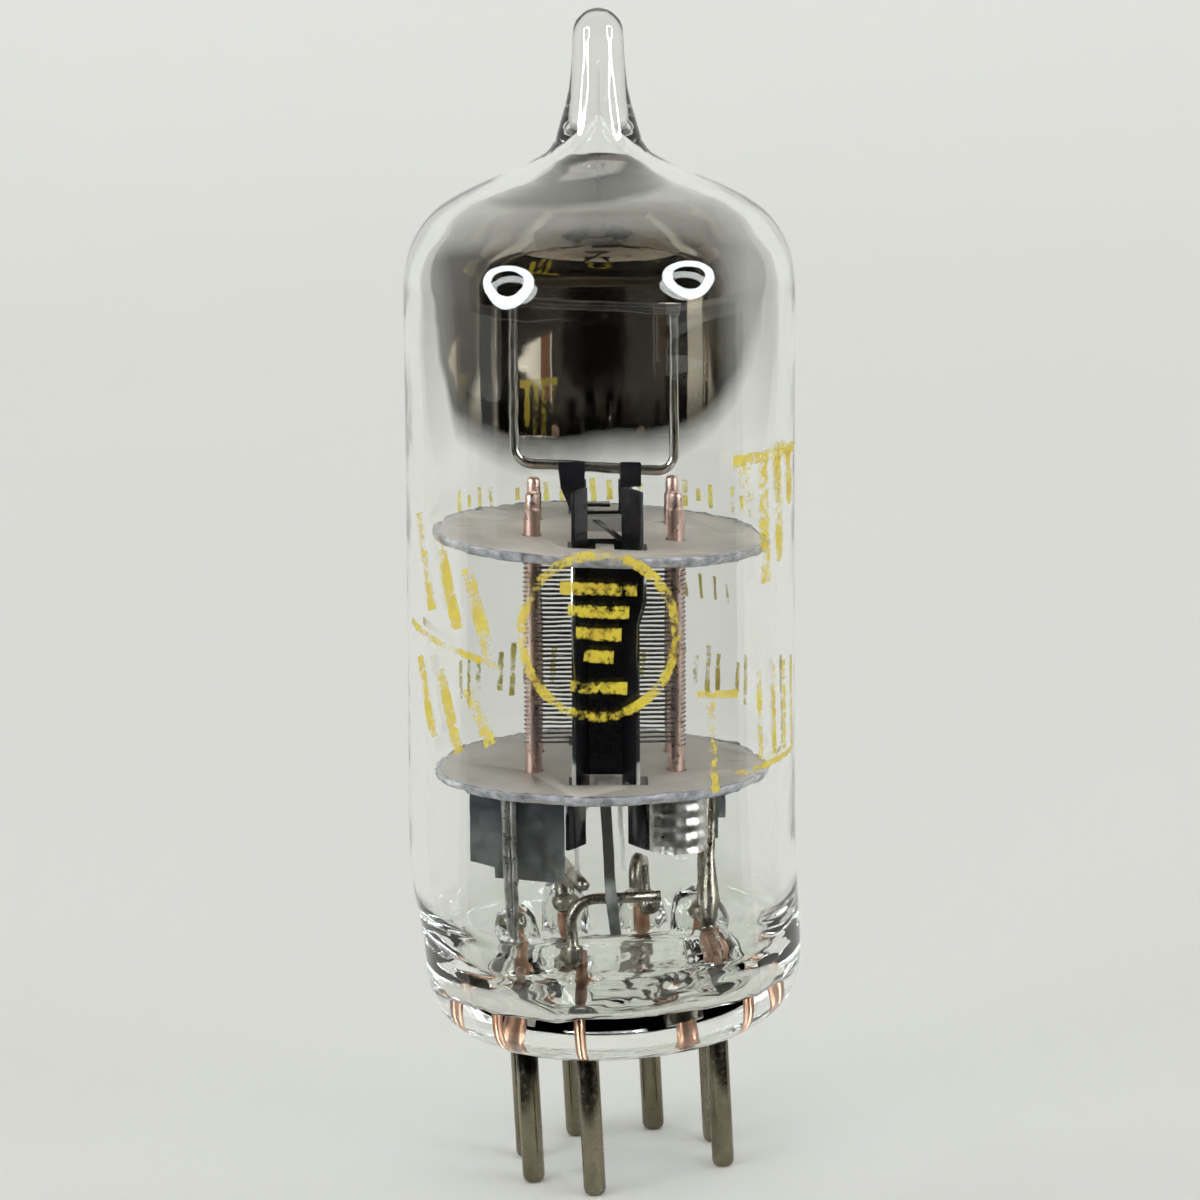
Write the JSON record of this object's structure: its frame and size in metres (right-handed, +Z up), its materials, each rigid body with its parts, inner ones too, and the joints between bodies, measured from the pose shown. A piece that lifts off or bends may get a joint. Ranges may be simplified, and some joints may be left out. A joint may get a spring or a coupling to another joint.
{
  "type": "twin triode tube",
  "caption": "Miniature glass twin triode tube with pins in a glass button base, a drawn exhaust tip and a getter above the cage.",
  "frame": {"origin": "centre of the bounding box's bottom, on the surface that the pin tips stand on", "axes": "+Z up along the pins towards the exhaust tip, -Y towards the front anode, +X to the right as seen from the front"},
  "size_m": [0.0191, 0.0188, 0.0536],
  "materials": {
    "clear_glass": "clear, fused",
    "pin_metal": "dull, stained",
    "seal_copper": "satin",
    "anode_black": "carbonised",
    "mica": "cleaved, satin",
    "rod_copper": "satin",
    "grid_wire": "fine drawn",
    "cathode_coat": "sprayed, matte",
    "bright_nickel": "bright",
    "dull_nickel": "dull",
    "lead_nickel": "drawn, oxidised at the welds"
  },
  "bodies": {
    "root": {"stem_button": "clear_glass", "bulb_glass": "clear_glass", "pin_1": "pin_metal", "pin_2": "pin_metal", "pin_3": "pin_metal", "pin_4": "pin_metal", "pin_5": "pin_metal", "pin_6": "pin_metal", "pin_7": "pin_metal", "seal_wire_1": "seal_copper", "seal_wire_2": "seal_copper", "seal_wire_3": "seal_copper", "seal_wire_4": "seal_copper", "seal_wire_5": "seal_copper", "seal_wire_6": "seal_copper", "seal_wire_7": "seal_copper", "anode_front": "anode_black", "anode_rear": "anode_black", "mica_top": "mica", "mica_bottom": "mica", "grid_front_rod_left": "rod_copper", "grid_front_rod_right": "rod_copper", "grid_rear_rod_left": "rod_copper", "grid_rear_rod_right": "rod_copper", "grid_front_winding": "grid_wire", "grid_rear_winding": "grid_wire", "cathode_sleeve": "cathode_coat", "heater": "cathode_coat", "getter_frame": "bright_nickel", "getter_trough": "bright_nickel", "getter_tab_left": "anode_black", "getter_tab_right": "anode_black", "rear_strap": "anode_black", "cathode_strap": "anode_black", "grid_plate": "dull_nickel", "grid_clip": "bright_nickel", "anode_strip_rear": "dull_nickel", "anode_strip_front": "dull_nickel", "cathode_ribbon": "dull_nickel", "lead_front_grid": "lead_nickel", "lead_rear_grid": "lead_nickel", "lead_heater_left": "lead_nickel", "lead_heater_right": "lead_nickel", "lead_cathode": "lead_nickel", "lead_front_anode": "lead_nickel", "lead_rear_anode": "lead_nickel"}
  },
  "joints": []
}
